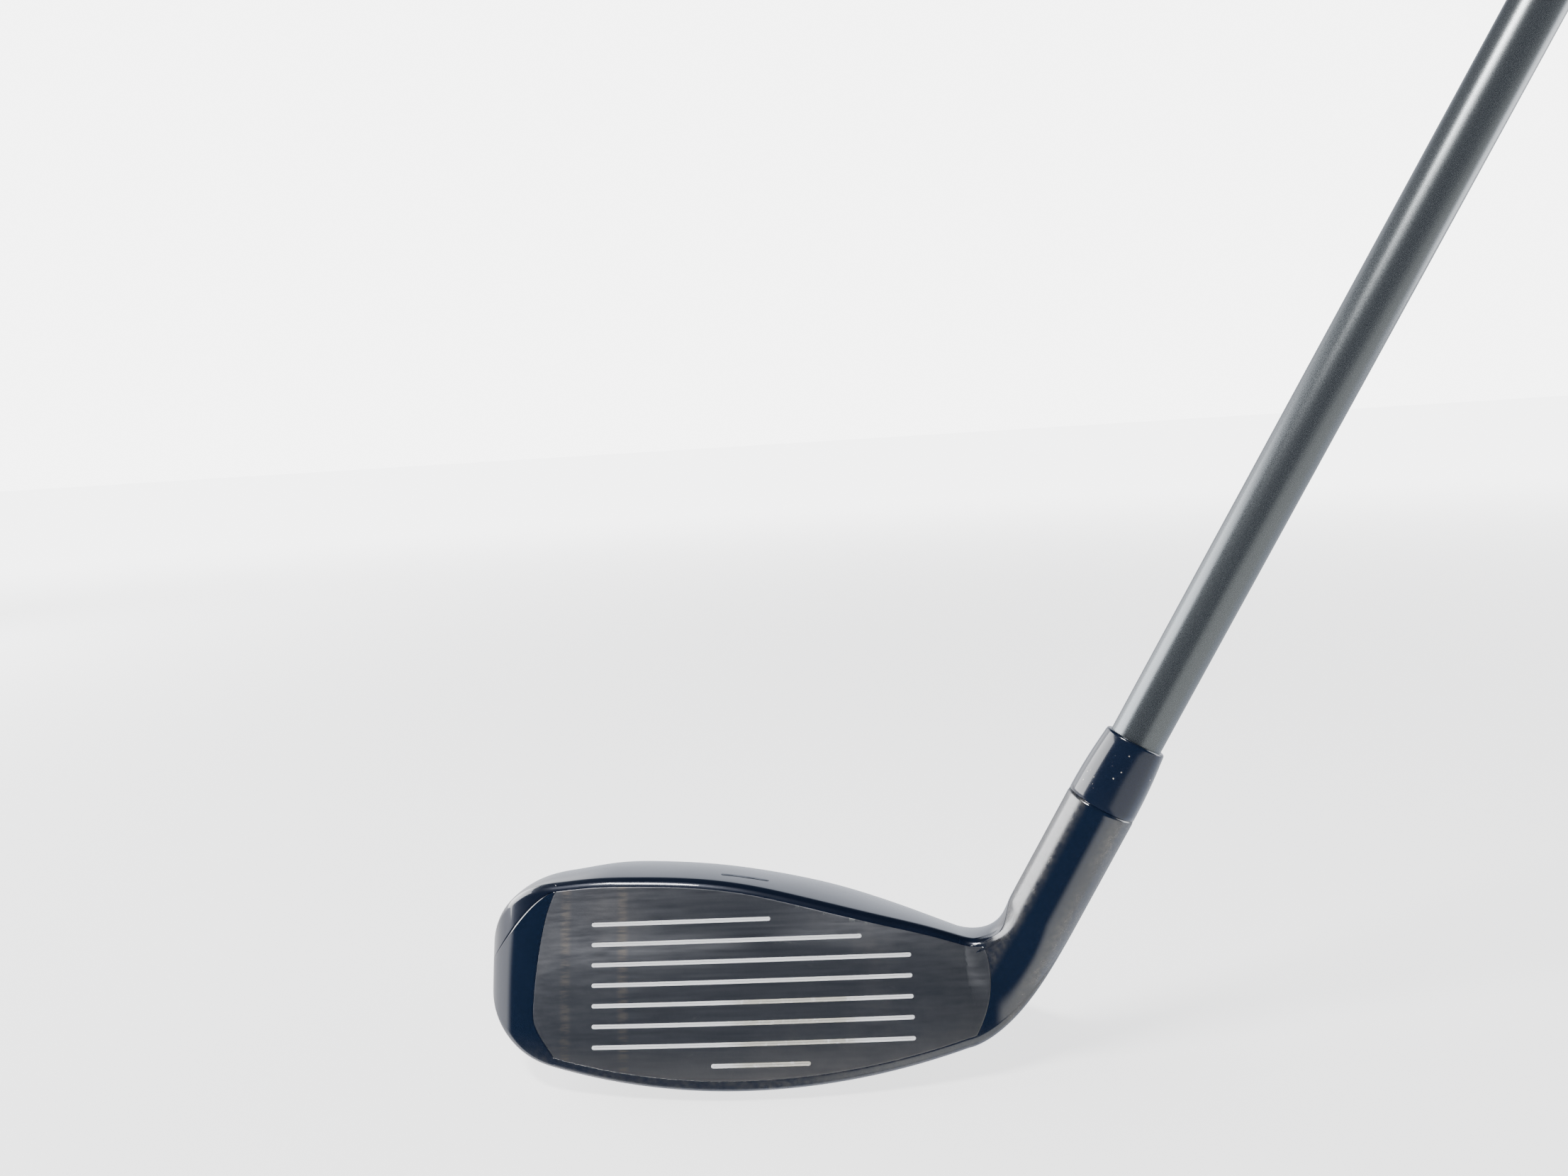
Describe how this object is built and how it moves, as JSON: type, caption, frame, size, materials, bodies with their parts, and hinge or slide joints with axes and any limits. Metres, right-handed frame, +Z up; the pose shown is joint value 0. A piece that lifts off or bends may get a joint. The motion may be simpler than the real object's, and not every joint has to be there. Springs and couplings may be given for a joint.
{
  "type": "golf club",
  "caption": "Right-handed hybrid golf club: hollow head with bulged, scored face, tapered shaft on an angled hosel, rubber grip and an adjustable sole weight screw.",
  "frame": {"origin": "point under the middle of the score lines where the sole rests on the ground, in the address position", "axes": "+X from toe to heel, +Y from the face to the back of the head, +Z up; the shaft rises towards +X at 60.4 degrees"},
  "size_m": [0.6007, 0.0702, 0.8879],
  "materials": {
    "painted_steel": "gloss navy paint over cast steel",
    "face_steel": "dark satin steel, finely brushed across",
    "line_paint": "matt off-white paint fill",
    "crown_paint": "gloss navy paint",
    "mark_paint": "pale inlaid mark",
    "tungsten": "dense sintered metal, dull",
    "polymer": "moulded black polymer",
    "bare_steel": "plain machined steel",
    "glue": "amber hot-melt glue",
    "washer_nylon": "natural nylon",
    "screw_steel": "satin anodised",
    "epoxy": "cured epoxy",
    "ferrule_plastic": "polished navy plastic",
    "shaft_graphite": "satin grey lacquer over graphite",
    "plug_plastic": "black plastic plug",
    "decal_film": "plain dark band under lacquer",
    "tape": "double-sided paper tape",
    "grip_rubber": "matt black textured rubber",
    "cap_rubber": "matt black rubber"
  },
  "bodies": {
    "club": {"head_body": "painted_steel", "face_cup": "face_steel", "score_line_paint": "line_paint", "crown": "crown_paint", "alignment_mark": "mark_paint", "toe_weight": "tungsten", "heel_weight": "tungsten", "toe_post": "polymer", "heel_post": "polymer", "sole_ribs": "bare_steel", "hot_melt": "glue", "weight_insert": "bare_steel", "hosel_epoxy": "epoxy", "ferrule": "ferrule_plastic", "shaft": "shaft_graphite", "tip_plug": "plug_plastic", "shaft_decal": "decal_film", "grip_tape": "tape", "grip": "grip_rubber", "grip_cap": "cap_rubber"},
    "washer_carrier": {"weight_washer": "washer_nylon"},
    "screw": {"weight_screw": "screw_steel"}
  },
  "joints": [
    {"name": "weight_travel", "type": "slide", "parent": "club", "child": "washer_carrier", "axis": [0, 0, -1], "range_m": [0, 0.0064]},
    {"name": "weight_turn", "type": "hinge", "parent": "washer_carrier", "child": "screw", "pos_m": [-0.004, 0.031, 0], "axis": [0, 0, -1], "range_deg": [0, 2881]}
  ],
  "couplings": [
    {"joint": "weight_turn", "follows": "weight_travel", "rad_per_m": 7854}
  ]
}
